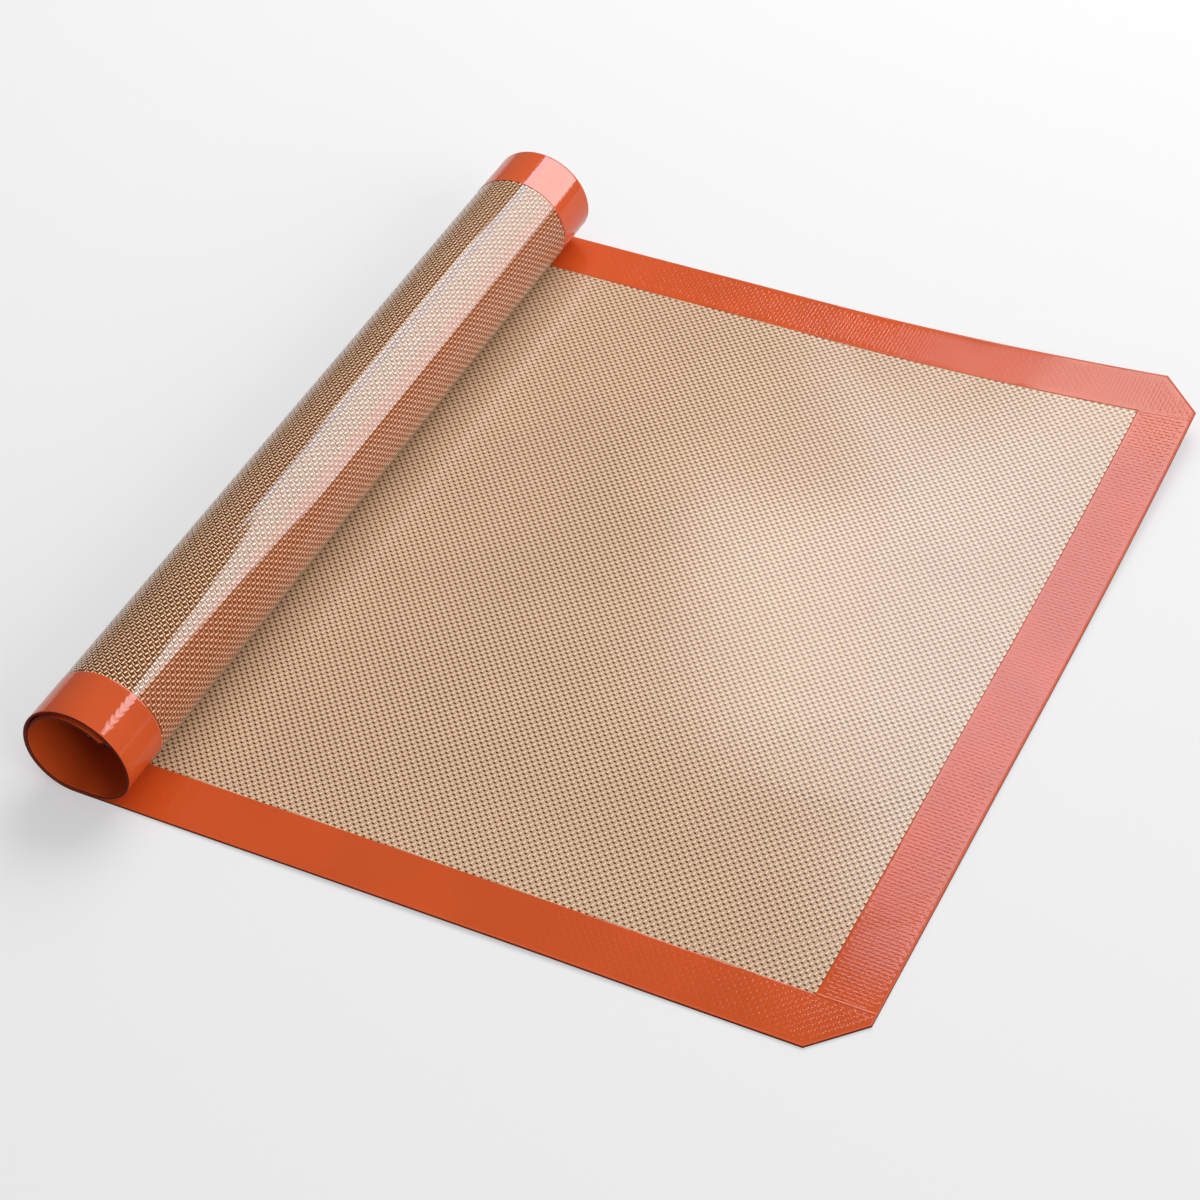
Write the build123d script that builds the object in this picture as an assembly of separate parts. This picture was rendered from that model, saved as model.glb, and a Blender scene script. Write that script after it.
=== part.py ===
from build123d import *
import math
import os

# Silicone baking mat for a half-sheet tray, lying flat with one end rolled up on itself.
#
# X runs along the mat's length: the flat end is at +X and the roll at -X. Y runs across it,
# Z is up and the mat lies on z = 0. The origin is the centre of the mat's own box, on the table.
# A place on the mat is told by its distance along the mat from the flat end and by its y.
# A height in the sheet is told from the middle of its thickness, and is positive towards the
# baking face, which is the upper face of the flat part and the inside of the roll.

# The mat as it is cut, in millimetres.
mat_length = 420.0
mat_width = 295.0
corner_cut = 14.0
border_width = 18.0

# The layers of the sheet: a glass cloth with silicone on both faces, and a sealed cut edge.
cloth_thickness = 0.3
coat_thickness = 0.2
edge_seal_width = 0.4

# The rolled end. The radii are those of the middle of the sheet. The roll is a little wider
# than it is high, because it sags, and its free end opens out inside.
upper_turn_radius = 17.5
turn_gap = 0.3
lower_turn_share = 0.83
inner_crown_share = 0.9
tail_turn_share = 0.925
tail_sweep = 90.0
quarter_sweep = 90.0

# The corner at the flat end and the +Y side, which still curls up a little.
corner_lift = 8.0
curl_along_side_share = 0.61
curl_along_end_share = 0.5

sheet_thickness = cloth_thickness + 2 * coat_thickness
half_sheet = sheet_thickness / 2
half_cloth = cloth_thickness / 2
half_width = mat_width / 2
turn_pitch = sheet_thickness + turn_gap
cut_overrun = turn_gap / 4

lower_turn_radius = lower_turn_share * upper_turn_radius
inner_lower_radius = lower_turn_radius - turn_pitch
inner_crown_radius = inner_crown_share * (upper_turn_radius - turn_pitch)
tail_radius = tail_turn_share * (2 * (upper_turn_radius - turn_pitch) - inner_crown_radius)
seat_run = 2 * upper_turn_radius - lower_turn_radius - inner_lower_radius

# The stretches of the rolled end, from where it leaves the table: (radius, sweep in degrees) of
# each turn, and the straight run where the second turn is seated on the flat part.
rolled_stretches = [
    ("turn", lower_turn_radius, quarter_sweep),
    ("turn", upper_turn_radius, quarter_sweep),
    ("turn", upper_turn_radius, quarter_sweep),
    ("turn", inner_lower_radius, quarter_sweep),
    ("run", seat_run, None),
    ("turn", inner_lower_radius, quarter_sweep),
    ("turn", inner_crown_radius, quarter_sweep),
    ("turn", tail_radius, tail_sweep),
]


def stretch_length(stretch):
    """The length of a stretch along the middle of the sheet."""
    kind, size, sweep = stretch
    return size * math.radians(sweep) if kind == "turn" else size


roll_length = sum(stretch_length(stretch) for stretch in rolled_stretches)
flat_length = mat_length - roll_length
roll_start_x = (lower_turn_radius + half_sheet - flat_length) / 2
flat_end_x = roll_start_x + flat_length

# The line about which the corner curls, from the +Y side to the flat end.
curl_along_side = curl_along_side_share * flat_length
curl_along_end = curl_along_end_share * mat_width
curl_line_start = Vector(flat_end_x - curl_along_side, half_width, 0)
curl_line_end = Vector(flat_end_x, half_width - curl_along_end, 0)
curl_line = (curl_line_end - curl_line_start).normalized()
towards_corner = Vector(-curl_line.Y, curl_line.X, 0)
corner_reach = towards_corner.dot(Vector(flat_end_x, half_width, 0) - curl_line_start)
corner_curl_radius = corner_reach**2 / (2 * corner_lift)


def rolled_place(along, height):
    """The x and z of a point of the rolled end, a distance along it from where it leaves the table."""
    x, z, heading = roll_start_x, half_sheet, math.pi
    for kind, size, sweep in rolled_stretches:
        length = stretch_length((kind, size, sweep))
        step = min(along, length)
        if kind == "turn":
            centre_x = x + size * math.sin(heading)
            centre_z = z - size * math.cos(heading)
            heading -= step / size
            x = centre_x - size * math.sin(heading)
            z = centre_z + size * math.cos(heading)
        else:
            x += step * math.cos(heading)
            z += step * math.sin(heading)
        along -= step
        if along <= 0:
            break
    return x + height * math.sin(heading), z - height * math.cos(heading)


def rolled_edges(height, start, stop, y):
    """The line of the rolled end at one height in the sheet, as arcs and straight edges."""
    edges = []
    begun = 0.0
    for stretch in rolled_stretches:
        ended = begun + stretch_length(stretch)
        first, last = max(start, begun), min(stop, ended)
        if last > first:
            points = []
            for along in (first, (first + last) / 2, last):
                x, z = rolled_place(along, height)
                points.append(Vector(x, y, z))
            if stretch[0] == "turn":
                edges.append(Edge.make_three_point_arc(*points))
            else:
                edges.append(Edge.make_line(points[0], points[2]))
        begun = ended
    return edges


def rolled_part(low, high, start, stop, front, back):
    """A layer of the rolled end, from one distance along it to another and from y front to y back."""
    below = rolled_edges(low, start, stop, front)
    above = rolled_edges(high, start, stop, front)
    first_end = Edge.make_line(below[0] @ 0, above[0] @ 0)
    last_end = Edge.make_line(below[-1] @ 1, above[-1] @ 1)
    profile = make_face([*below, last_end, *above, first_end])
    return extrude(profile, amount=back - front, dir=(0, 1, 0))


def tail_part(low, high, start, stop, front, back, inset):
    """A layer of the roll's free end, cut to the sheet's slanted corners."""
    strip = rolled_part(low, high, start, stop, front, back)
    cut = inset_corner_cut(inset)
    tail_start = roll_length - inset - cut
    tail_stop = roll_length - inset
    start_x, start_z = rolled_place(tail_start, 0)
    stop_x, stop_z = rolled_place(tail_stop, 0)
    chord = Vector(stop_x - start_x, 0, stop_z - start_z)
    slant = cut / chord.length
    edge_y = half_width - inset
    past = border_width
    keeper = Polyline(
        (-past, -edge_y - past * slant),
        (chord.length + past, -edge_y + cut + past * slant),
        (chord.length + past, edge_y - cut - past * slant),
        (-past, edge_y + past * slant),
        close=True,
    )
    outward = chord.normalized().cross(Vector(0, 1, 0))
    seat = Plane(origin=(start_x, 0, start_z), x_dir=chord, z_dir=outward)
    return strip & extrude(seat * make_face(keeper), amount=upper_turn_radius, both=True)


def inset_corner_cut(inset):
    """The corner cut of an outline that lies inside the mat's own by inset."""
    return corner_cut - (2 - math.sqrt(2)) * inset


def flat_outline(inset):
    """The mat's outline on the table, a distance inside its own edge, up to where it rolls up."""
    end_x = flat_end_x - inset
    side_y = half_width - inset
    cut = inset_corner_cut(inset)
    return make_face(
        Polyline(
            (roll_start_x, -side_y),
            (end_x - cut, -side_y),
            (end_x, -side_y + cut),
            (end_x, side_y - cut),
            (end_x - cut, side_y),
            (roll_start_x, side_y),
            close=True,
        )
    )


def lying_layer(low, high):
    """An endless layer that lies on the table and curls up past the corner's curl line."""
    reach = mat_length + mat_width
    sweep = 2 * corner_reach / corner_curl_radius
    sides = []
    for height in (low, high):
        radius = corner_curl_radius - height
        level = half_sheet + height
        centre = half_sheet + corner_curl_radius
        bend = [
            (radius * math.sin(turn), centre - radius * math.cos(turn))
            for turn in (sweep / 2, sweep)
        ]
        sides.append(
            [
                Line((-reach, level), (0, level)),
                ThreePointArc((0, level), *bend),
            ]
        )
    below, above = sides
    first_end = Line(below[0] @ 0, above[0] @ 0)
    last_end = Line(below[1] @ 1, above[1] @ 1)
    profile = make_face([*below, last_end, *above, first_end])
    across = Plane(
        origin=curl_line_start,
        x_dir=towards_corner,
        z_dir=towards_corner.cross(Vector(0, 0, 1)),
    )
    return extrude(across * profile, amount=reach, both=True)


def flat_part(low, high, start, stop, front, back, inset):
    """A layer of the flat part, cut straight down to its outline."""
    near_x = flat_end_x - stop
    far_x = flat_end_x - start
    middle = ((near_x + far_x) / 2, (front + back) / 2)
    stretch = Pos(*middle) * Rectangle(far_x - near_x, back - front)
    outline = flat_outline(inset) & stretch
    tall = corner_lift + upper_turn_radius
    return lying_layer(low, high) & extrude(outline, amount=tall, both=True)


def sheet_piece(low, high, start, stop, front, back, inset):
    """One layer of the mat, between two distances along it and two places across it."""
    tail_start = mat_length - inset - inset_corner_cut(inset)
    parts = []
    if start < flat_length:
        parts.append(flat_part(low, high, start, min(stop, flat_length), front, back, inset))
    if stop > flat_length and start < tail_start:
        first = max(start - flat_length, 0)
        last = min(stop, tail_start) - flat_length
        parts.append(rolled_part(low, high, first, last, front, back))
    if stop > tail_start:
        first = max(start, tail_start) - flat_length
        parts.append(tail_part(low, high, first, stop - flat_length, front, back, inset))
    piece = parts[0]
    for part in parts[1:]:
        piece += part
    return piece


# The laminate lies inside the edge seal, and its border strips meet the coats edge to edge.
laminate_start = edge_seal_width
laminate_stop = mat_length - edge_seal_width
laminate_side = half_width - edge_seal_width
window_start = border_width
window_stop = mat_length - border_width
window_side = half_width - border_width

underside = (-half_sheet, -half_cloth)
baking_face = (half_cloth, half_sheet)


def glass_cloth():
    """The woven glass cloth that carries the mat."""
    return sheet_piece(
        -half_cloth, half_cloth, laminate_start, laminate_stop,
        -laminate_side, laminate_side, edge_seal_width,
    )


def silicone_coat(layer):
    """The clear silicone that covers one face of the cloth inside the border."""
    return sheet_piece(
        *layer, window_start, window_stop, -window_side, window_side, edge_seal_width
    )


def side_border(layer, front, back):
    """The coloured silicone strip along one long side, which runs from end to end."""
    return sheet_piece(*layer, laminate_start, laminate_stop, front, back, edge_seal_width)


def end_border(layer, start, stop):
    """The coloured silicone strip across one end, between the two side strips."""
    return sheet_piece(*layer, start, stop, -window_side, window_side, edge_seal_width)


def cut_edge_seal():
    """The thin bead of silicone that seals the glass fibres all round the cut edge."""
    whole = sheet_piece(
        -half_sheet, half_sheet, 0, mat_length, -half_width, half_width, 0
    )
    inside = sheet_piece(
        -half_sheet - cut_overrun, half_sheet + cut_overrun, laminate_start, laminate_stop,
        -laminate_side, laminate_side, edge_seal_width,
    )
    return whole - inside


nodes = {
    "woven_glass_cloth": glass_cloth(),
    "cut_edge_seal": cut_edge_seal(),
}
for face, layer in (("top", baking_face), ("underside", underside)):
    nodes[f"{face}_silicone_coat"] = silicone_coat(layer)
    nodes[f"front_side_border_{face}"] = side_border(layer, -laminate_side, -window_side)
    nodes[f"back_side_border_{face}"] = side_border(layer, window_side, laminate_side)
    nodes[f"flat_end_border_{face}"] = end_border(layer, laminate_start, window_start)
    nodes[f"rolled_end_border_{face}"] = end_border(layer, window_stop, laminate_stop)

os.makedirs("parts", exist_ok=True)
for name, solid in nodes.items():
    export_step(solid, os.path.join("parts", f"{name}.step"))
print(f"roll length {roll_length:.1f}, flat length {flat_length:.1f}")
print(f"roll start x {roll_start_x:.3f}, flat end x {flat_end_x:.3f}")
print(f"roll height {lower_turn_radius + upper_turn_radius + sheet_thickness:.2f}")
print(f"corner curl radius {corner_curl_radius:.1f}")
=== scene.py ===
import math
from collections import namedtuple
from functools import cache, partial

import bpy
from mathutils import Matrix, Vector


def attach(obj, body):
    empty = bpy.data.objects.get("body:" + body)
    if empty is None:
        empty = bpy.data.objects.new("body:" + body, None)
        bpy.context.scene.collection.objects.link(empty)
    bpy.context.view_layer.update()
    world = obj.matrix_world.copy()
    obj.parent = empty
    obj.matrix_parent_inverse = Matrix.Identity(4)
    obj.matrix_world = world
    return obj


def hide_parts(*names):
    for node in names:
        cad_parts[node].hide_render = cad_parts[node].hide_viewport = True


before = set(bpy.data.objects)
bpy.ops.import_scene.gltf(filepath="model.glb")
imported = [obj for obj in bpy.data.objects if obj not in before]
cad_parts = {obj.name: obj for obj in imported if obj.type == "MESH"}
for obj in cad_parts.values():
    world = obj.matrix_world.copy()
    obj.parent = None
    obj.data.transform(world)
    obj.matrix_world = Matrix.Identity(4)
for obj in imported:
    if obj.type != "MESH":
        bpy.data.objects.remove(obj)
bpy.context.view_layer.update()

bl_info = {
    "name": "Silicone baking mat",
    "version": (1, 0, 0),
    "blender": (4, 5, 0),
    "location": "3D View > Sidebar > Baking mat",
    "description": "Makes the look of a woven silicone baking mat with one end rolled up",
    "category": "Object",
}

MM = 0.001
FACES = {"top": 1.0, "underside": -1.0}
STRIPS = ("front_side", "back_side", "flat_end", "rolled_end")

# Steps along the roll, along the flat part, across the mat, across a border strip, and in each
# quarter turn of the roll line. Two cuts stand apart by a least share of a step along the roll.
ROLL_STEPS = 180
FLAT_STEPS = 108
CROSS_STEPS = 112
STRIP_STEPS = 6
TURN_STEPS = 60
LEAST_STEP = 0.125

# The clear film's faces, and the seats of the border strips, as shares of half the thickness.
FILM_LEVEL = 0.72
STRIP_SEAT = 0.55
# The rounded rim of a strip: its width, and how far it drops as a share of the strip's thickness.
STRIP_RIM = 0.25 * MM
RIM_DROP = 0.4
# The rim of an overlap ridge, as a share of the ridge's width.
RIDGE_RIM = 0.25

# The ripples rise over this part of the noise. They reach their full height at this many ripple
# reaches from where they start.
WAVE_LOW, WAVE_HIGH = 0.25, 0.75
RIPPLE_ONSET = 0.6

# A crown is a low cone with this many sides. It goes on into the sheet by this share of its height.
CROWN_SIDES = 6
CROWN_SUNK = 0.25
# How far crowns keep from a cut corner, in their own half sizes.
CORNER_CLEARANCE = 1.2
# How far warp crowns and pits lie aside of their row, in yarns. A pit lies towards the back wall of
# its dent, where its dark is painted shade.
WARP_SHIFT = -0.28
PIT_SHIFT = {"top": 0.2, "underside": 0.3}
# How much further a pit turns from its line than a yarn does.
PIT_LEAN = 2.0
# The height of a link between two wefts of the underside, over a weft's.
LINK_HEIGHT = 0.8
# A rib's half width in yarns, and the height of the ribs that run along their strip over the others'.
RIB_HALF_WIDTH = 0.45
LONG_RIB_HEIGHT = 0.35

# The edge bead reaches this many seal widths inwards. Its section's upper half is given from the
# cut edge inwards, as shares of that reach and of half the sheet's thickness.
BEAD_REACH = 2.2
BEAD_SECTION = ((0.0, 0.3), (0.04, 0.7), (0.16, 0.96), (0.45, 1.06), (0.8, 1.04), (1.0, 0.9))
# Between these heights over the sheet's middle the bead turns from its dark colour, which is painted
# shade on the edge's side, to the border's.
BEAD_SHADE = (0.26 * MM, 0.36 * MM)


# Settings


def srgb(text):
    """A linear colour from an sRGB hex value."""
    parts = [int(text[i : i + 2], 16) / 255 for i in (1, 3, 5)]
    linear = [p / 12.92 if p <= 0.04045 else ((p + 0.055) / 1.055) ** 2.4 for p in parts]
    return (*linear, 1.0)


def setting(description, default, **more):
    """A plain number setting. The panel makes its label from its own name."""
    return bpy.props.FloatProperty(description=description, default=default, **more)


def length(description, millimetres):
    """A length setting in metres, written in millimetres."""
    return setting(description, millimetres * MM, subtype="DISTANCE", precision=5)


def share(description, default):
    """A setting that is a share of another size."""
    return setting(description, default, min=0.0, subtype="FACTOR")


def angle(description, degrees):
    """An angle setting, written in degrees."""
    return setting(description, math.radians(degrees), subtype="ANGLE")


def vector(description, default, subtype, size=3):
    """A setting with several parts, such as a place or a direction."""
    return bpy.props.FloatVectorProperty(
        description=description, default=default, subtype=subtype, size=size
    )


def colour(description, text):
    """A colour setting, written as an sRGB hex value."""
    return vector(description, srgb(text), "COLOR", 4)


class MatSizes(bpy.types.PropertyGroup):
    """The mat as it is cut, its layers and how it is rolled up."""

    mat_length: length("Length of the mat, unrolled", 420.0)
    mat_width: length("Width of the mat", 295.0)
    corner_cut: length("How far each corner is cut back along both edges", 14.0)
    border_width: length("Width of the coloured border", 18.0)
    sheet_thickness: length("Thickness of the whole mat", 0.7)
    edge_seal_width: length("Width of the bead round the cut edge", 0.4)
    upper_turn_radius: length("Radius of the roll's upper half", 17.5)
    turn_gap: length("Air between two turns of the roll", 0.3)
    lower_turn_share: share("Lower radius of the roll over its upper one", 0.83)
    inner_crown_share: share("Radius of the inner turn's top over a snug one", 0.9)
    tail_turn_share: share("Radius of the free end over a snug one", 0.925)
    corner_lift: length("Rise of the corner that curls up", 8.0)
    curl_along_side: share("Share of the flat side that curls up", 0.61)
    curl_along_end: share("Share of the flat end that curls up", 0.5)
    ripple: length("Height of the slow ripples in the flat part", 0.5)
    ripple_reach: length("Distance from one ripple to the next", 90.0)


class WeaveSizes(bpy.types.PropertyGroup):
    """The glass cloth's yarns and how they show through the silicone."""

    pitch_along: length("From yarn to yarn along the mat", 1.22)
    pitch_across: length("From yarn to yarn across the mat", 1.33)
    drift: share("How far the yarns that run along the mat stray sideways", 0.04)
    lean: angle("How far a crown turns from its yarn's line", 12)
    weft_width: share("Half width of a weft crown over the pitch along", 0.27)
    weft_length: share("Half length of a weft crown over the pitch across", 0.68)
    weft_height: length("How far a weft crown stands over the film", 0.05)
    warp_width: share("Half width of a warp crown over the pitch across", 0.2)
    warp_length: share("Half length of a warp crown over the pitch along", 0.6)
    warp_height: length("How far a warp crown stands over the film", 0.035)
    pit_width: share("Half width of a pit over the pitch along", 0.52)
    pit_length: share("Half length of a pit over the pitch across", 0.35)
    pit_height: length("How far a pit's floor lies over the film", 0.018)
    under_width: share("As the weft width, on the underside", 0.25)
    under_height: length("As the weft height, on the underside", 0.03)
    link_width: share("Half width of a link over the pitch across", 0.2)
    link_length: share("Half length of a link over the pitch along", 0.62)
    link_lean: angle("How far a warp of the underside turns from its line", 32)
    rib_height: length("How far a yarn shows through the border", 0.09)
    rib_reach: share("Half length of a rib in yarns", 1.4)
    ridge_width: length("Width of the ridge where two strips overlap", 1.1)
    ridge_height: length("Height of that ridge on the baking face", 0.06)
    pressed: share("Height of ribs and ridges on the underside over the top's", 0.3)


class MatColours(bpy.types.PropertyGroup):
    """The colours of the mat's finishes."""

    border_top: colour("Pigmented silicone, matt side", "#CE5322")
    border_under: colour("Pigmented silicone, glossy side", "#CE5322")
    # The edge colour is painted shade: it darkens the side of the cut edge, which lies in shade.
    edge: colour("Sealed edge", "#561410")
    weft_top: colour("Glass yarn under clear silicone", "#F4D9BA")
    warp_top: colour("Glass yarn deep under clear silicone", "#DDBA94")
    film_top: colour("Clear silicone over the cloth", "#C6A182")
    # The pit's dark is partly the hole and partly painted shade on the dent's back wall.
    pit_top: colour("Hole between the yarns", "#52300F")
    weft_under: colour("Glass yarn under clear silicone", "#FFDCB4")
    # The underside's warp links are pale partly as painted highlight, for the lit flank of each warp.
    warp_under: colour("Glass yarn deep under clear silicone", "#F6CC9E")
    # The underside's dark film and darker pits are partly painted shade: the roll's unlit inside seen
    # through the clear silicone.
    film_under: colour("Clear silicone over the cloth", "#743E20")
    pit_under: colour("Hole between the yarns", "#3A1C0C")
    tint: colour("Inner border seen through the outer turn", "#93401A")
    floor: colour("The pale table", "#F0F0F1")


class StageSettings(bpy.types.PropertyGroup):
    """The camera's place and the lamps."""

    camera_place: vector("Where the camera stands", (0.324291, -0.633042, 0.660881), "TRANSLATION")
    camera_ahead: vector("The way the camera looks", (-0.346644, 0.641396, -0.684433), "DIRECTION")
    camera_right: vector("The camera's right-hand side", (0.896779, 0.440543, -0.041349), "DIRECTION")
    camera_lens: setting("Focal length on a 36 mm sensor", 94.94)
    back_glow: setting("Radiance of the soft lamp behind the mat", 3.85)
    side_glow: setting("Radiance of the soft lamp to the right", 4.5)
    window_glow: setting("Radiance of the window in the reflections", 10.0)
    window_colour: colour("Daylight", "#FAFCFF")
    window_sky: colour("Clear sky", "#D6EAFF")
    sky_glow: setting("Strength of the light from all round", 0.24)
    floor_glow: share("Share of the floor's brightness that is its own", 0.45)


# Small helpers

# The nodes that do sums, with numbers and with vectors.
MATH = "ShaderNodeMath"
VECTOR_MATH = "ShaderNodeVectorMath"


def add_node(tree, kind, *inputs, **settings):
    """Adds a node and gives its outputs.

    Its inputs come in their order, or by name in a dict. Each is a value, or an output to link.
    """
    made = tree.nodes.new(kind)
    for name, value in settings.items():
        setattr(made, name, value)
    for index, given in enumerate(inputs):
        named = given if isinstance(given, dict) else {index: given}
        for key, value in named.items():
            if isinstance(value, bpy.types.NodeSocket):
                tree.links.new(value, made.inputs[key])
            else:
                made.inputs[key].default_value = value
    return made.outputs


def add_object(name, data):
    """A new object in the scene, at the origin."""
    made = bpy.data.objects.new(name, data)
    bpy.context.scene.collection.objects.link(made)
    return made


def mesh_object(name, points, faces):
    """A new object from points and faces, at the origin."""
    mesh = bpy.data.meshes.new(name)
    mesh.from_pydata(points, [], faces)
    mesh.validate()
    return add_object(name, mesh)


# The roll line


def roll_stretches(sizes):
    """The turns and the run of the rolled end, as (kind, size), in the order of the sheet."""
    pitch = sizes.sheet_thickness + sizes.turn_gap
    upper = sizes.upper_turn_radius
    lower = sizes.lower_turn_share * upper
    inner_lower = lower - pitch
    crown = sizes.inner_crown_share * (upper - pitch)
    tail = sizes.tail_turn_share * (2 * (upper - pitch) - crown)
    seat = 2 * upper - lower - inner_lower
    return [
        ("turn", lower),
        ("turn", upper),
        ("turn", upper),
        ("turn", inner_lower),
        ("run", seat),
        ("turn", inner_lower),
        ("turn", crown),
        ("turn", tail),
    ]


def stretch_length(stretch):
    """The length of one stretch. Every turn is a quarter turn."""
    kind, size = stretch
    return size * math.pi / 2 if kind == "turn" else size


def roll_facts(sizes):
    """How much of the mat is rolled up and how much is flat, and where the roll begins in X."""
    rolled = sum(stretch_length(s) for s in roll_stretches(sizes))
    flat = sizes.mat_length - rolled
    lower = sizes.lower_turn_share * sizes.upper_turn_radius
    start_x = (lower + sizes.sheet_thickness / 2 - flat) / 2
    return rolled, flat, start_x


def roll_points(sizes):
    """The middle of the sheet seen from its side, from the flat end to the roll's free end."""
    _, flat, start_x = roll_facts(sizes)
    x, z, heading = start_x, sizes.sheet_thickness / 2, math.pi
    points = [(start_x + flat, 0.0, z), (start_x + flat / 2, 0.0, z), (x, 0.0, z)]
    for kind, size in roll_stretches(sizes):
        if kind == "run":
            x += size * math.cos(heading)
            z += size * math.sin(heading)
            points.append((x, 0.0, z))
            continue
        centre = (x + size * math.sin(heading), z - size * math.cos(heading))
        for _ in range(TURN_STEPS):
            heading -= math.pi / 2 / TURN_STEPS
            x = centre[0] - size * math.sin(heading)
            z = centre[1] + size * math.cos(heading)
            points.append((x, 0.0, z))
    return points


@cache
def roll_line():
    """A helper curve that the geometry nodes lay every layer along."""
    points = roll_points(bpy.context.scene.mat_sizes)
    data = bpy.data.curves.new("roll_line", "CURVE")
    data.dimensions = "3D"
    spline = data.splines.new("POLY")
    spline.points.add(len(points) - 1)
    for place, point in zip(spline.points, points):
        place.co = (*point, 1.0)
    return add_object("roll_line", data)


# Geometry nodes

# The inputs of the trees, by their kinds of socket.
LAYING_INPUTS = {
    "Object": ("Roll line",),
    "Vector": ("Curl start", "Curl direction"),
    "Float": ("Curl radius", "Ripple", "Ripple reach", "Ripple start", "Ripple full"),
}
CROWN_INPUTS = {
    "Int": ("First yarn along", "Yarns along", "First yarn across", "Yarns across"),
    "Float": (
        *("Pitch along", "Pitch across", "Drift", "Empty crossings", "Shift", "Least across"),
        *("Most across", "Lean", "Level", "Turn over", "Mat length", "Half width", "Corner cut"),
    ),
    "Vector": ("Crown size", "Map start", "Map size"),
    "Object": ("Carrier",),
    "Material": ("Crown finish",),
}


def group_tree(name, *inputs):
    """A new geometry node group, the function that adds its nodes, and its inputs."""
    tree = bpy.data.node_groups.new(name, "GeometryNodeTree")
    for kinds in ({"Geometry": ("Geometry",)}, *inputs):
        for kind, labels in kinds.items():
            for label in labels:
                tree.interface.new_socket(label, in_out="INPUT", socket_type=f"NodeSocket{kind}")
    tree.interface.new_socket("Geometry", in_out="OUTPUT", socket_type="NodeSocketGeometry")
    add = partial(add_node, tree)
    return tree, add, add("NodeGroupInput")


@cache
def laying_tree():
    """The group that lays flat geometry along the roll line.

    In the flat geometry X is the distance from the flat end, Y the place across the mat and Z
    the height over the middle of the sheet. That place is kept on every point as on_mat.
    """
    tree, add, given = group_tree("lay along the roll line", LAYING_INPUTS)
    place = add("GeometryNodeInputPosition")[0]
    kept = add(
        "GeometryNodeStoreNamedAttribute",
        {"Geometry": given["Geometry"], "Name": "on_mat", "Value": place},
        data_type="FLOAT_VECTOR",
        domain="POINT",
    )[0]
    flat = add("ShaderNodeSeparateXYZ", place)
    line = add("GeometryNodeObjectInfo", given["Roll line"])["Geometry"]
    sampled = {"Curves": line, "Length": flat["X"]}
    along = add("GeometryNodeSampleCurve", sampled, mode="LENGTH", use_all_curves=True)
    sideways = (0.0, 1.0, 0.0)
    upward = add(VECTOR_MATH, sideways, along["Tangent"], operation="CROSS_PRODUCT")[0]
    upright = add(VECTOR_MATH, upward, operation="NORMALIZE")[0]
    raised = add(VECTOR_MATH, upright, {"Scale": flat["Z"]}, operation="SCALE")[0]
    rolled = add(VECTOR_MATH, along["Position"], raised, operation="ADD")[0]
    across = add("ShaderNodeCombineXYZ", {"Y": flat["Y"]})[0]
    laid = add(VECTOR_MATH, rolled, across, operation="ADD")[0]

    # The corner that curls up: the sheet bends to a steady radius past the curl's line.
    offset = add(VECTOR_MATH, laid, given["Curl start"], operation="SUBTRACT")[0]
    direction = given["Curl direction"]
    reach = add(VECTOR_MATH, offset, direction, operation="DOT_PRODUCT")["Value"]
    past = add(MATH, reach, 0.0, operation="MAXIMUM")[0]
    radius = given["Curl radius"]
    past_squared = add(MATH, past, past, operation="MULTIPLY")[0]
    radius_squared = add(MATH, radius, radius, operation="MULTIPLY")[0]
    difference = add(MATH, radius_squared, past_squared, operation="SUBTRACT")[0]
    from_zero = add(MATH, difference, 0.0, operation="MAXIMUM")[0]
    to_centre = add(MATH, from_zero, operation="SQRT")[0]
    curl = add(MATH, radius, to_centre, operation="SUBTRACT")[0]

    # Slow ripples in the flat part, which die out towards the roll.
    scale = add(MATH, 1.0, given["Ripple reach"], operation="DIVIDE")[0]
    noise_inputs = {"Vector": laid, "Scale": scale, "Detail": 0.0}
    wave = add("ShaderNodeTexNoise", noise_inputs, noise_dimensions="2D")[0]
    swell = add("ShaderNodeMapRange", wave, WAVE_LOW, WAVE_HIGH, 0.0, given["Ripple"])[0]
    fade = add(
        "ShaderNodeMapRange",
        add("ShaderNodeSeparateXYZ", laid)["X"],
        given["Ripple start"],
        given["Ripple full"],
        interpolation_type="SMOOTHSTEP",
    )[0]
    ripple = add(MATH, swell, fade, operation="MULTIPLY")[0]
    rise = add(MATH, curl, ripple, operation="ADD")[0]
    lift = add("ShaderNodeCombineXYZ", {"Z": rise})[0]
    final = add(VECTOR_MATH, laid, lift, operation="ADD")[0]
    moved = add("GeometryNodeSetPosition", {"Geometry": kept, "Position": final})[0]
    # Distance runs against X, so the laid faces have to be turned round.
    turned = add("GeometryNodeFlipFaces", moved)[0]
    add("NodeGroupOutput", turned)
    return tree


def laying_values():
    """The values of the laying group's inputs."""
    sizes = bpy.context.scene.mat_sizes
    _, flat, start_x = roll_facts(sizes)
    end_x = start_x + flat
    half = sizes.mat_width / 2
    start = Vector((end_x - sizes.curl_along_side * flat, half, 0.0))
    stop = Vector((end_x, half - sizes.curl_along_end * sizes.mat_width, 0.0))
    line = (stop - start).normalized()
    direction = Vector((-line.y, line.x, 0.0))
    reach = direction.dot(Vector((end_x, half, 0.0)) - start)
    ripple_start = start_x + 2 * sizes.upper_turn_radius
    return {
        "Roll line": roll_line(),
        "Curl start": start,
        "Curl direction": direction,
        "Curl radius": reach**2 / (2 * sizes.corner_lift),
        "Ripple": sizes.ripple,
        "Ripple reach": sizes.ripple_reach,
        "Ripple start": ripple_start,
        "Ripple full": ripple_start + RIPPLE_ONSET * sizes.ripple_reach,
    }


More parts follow.
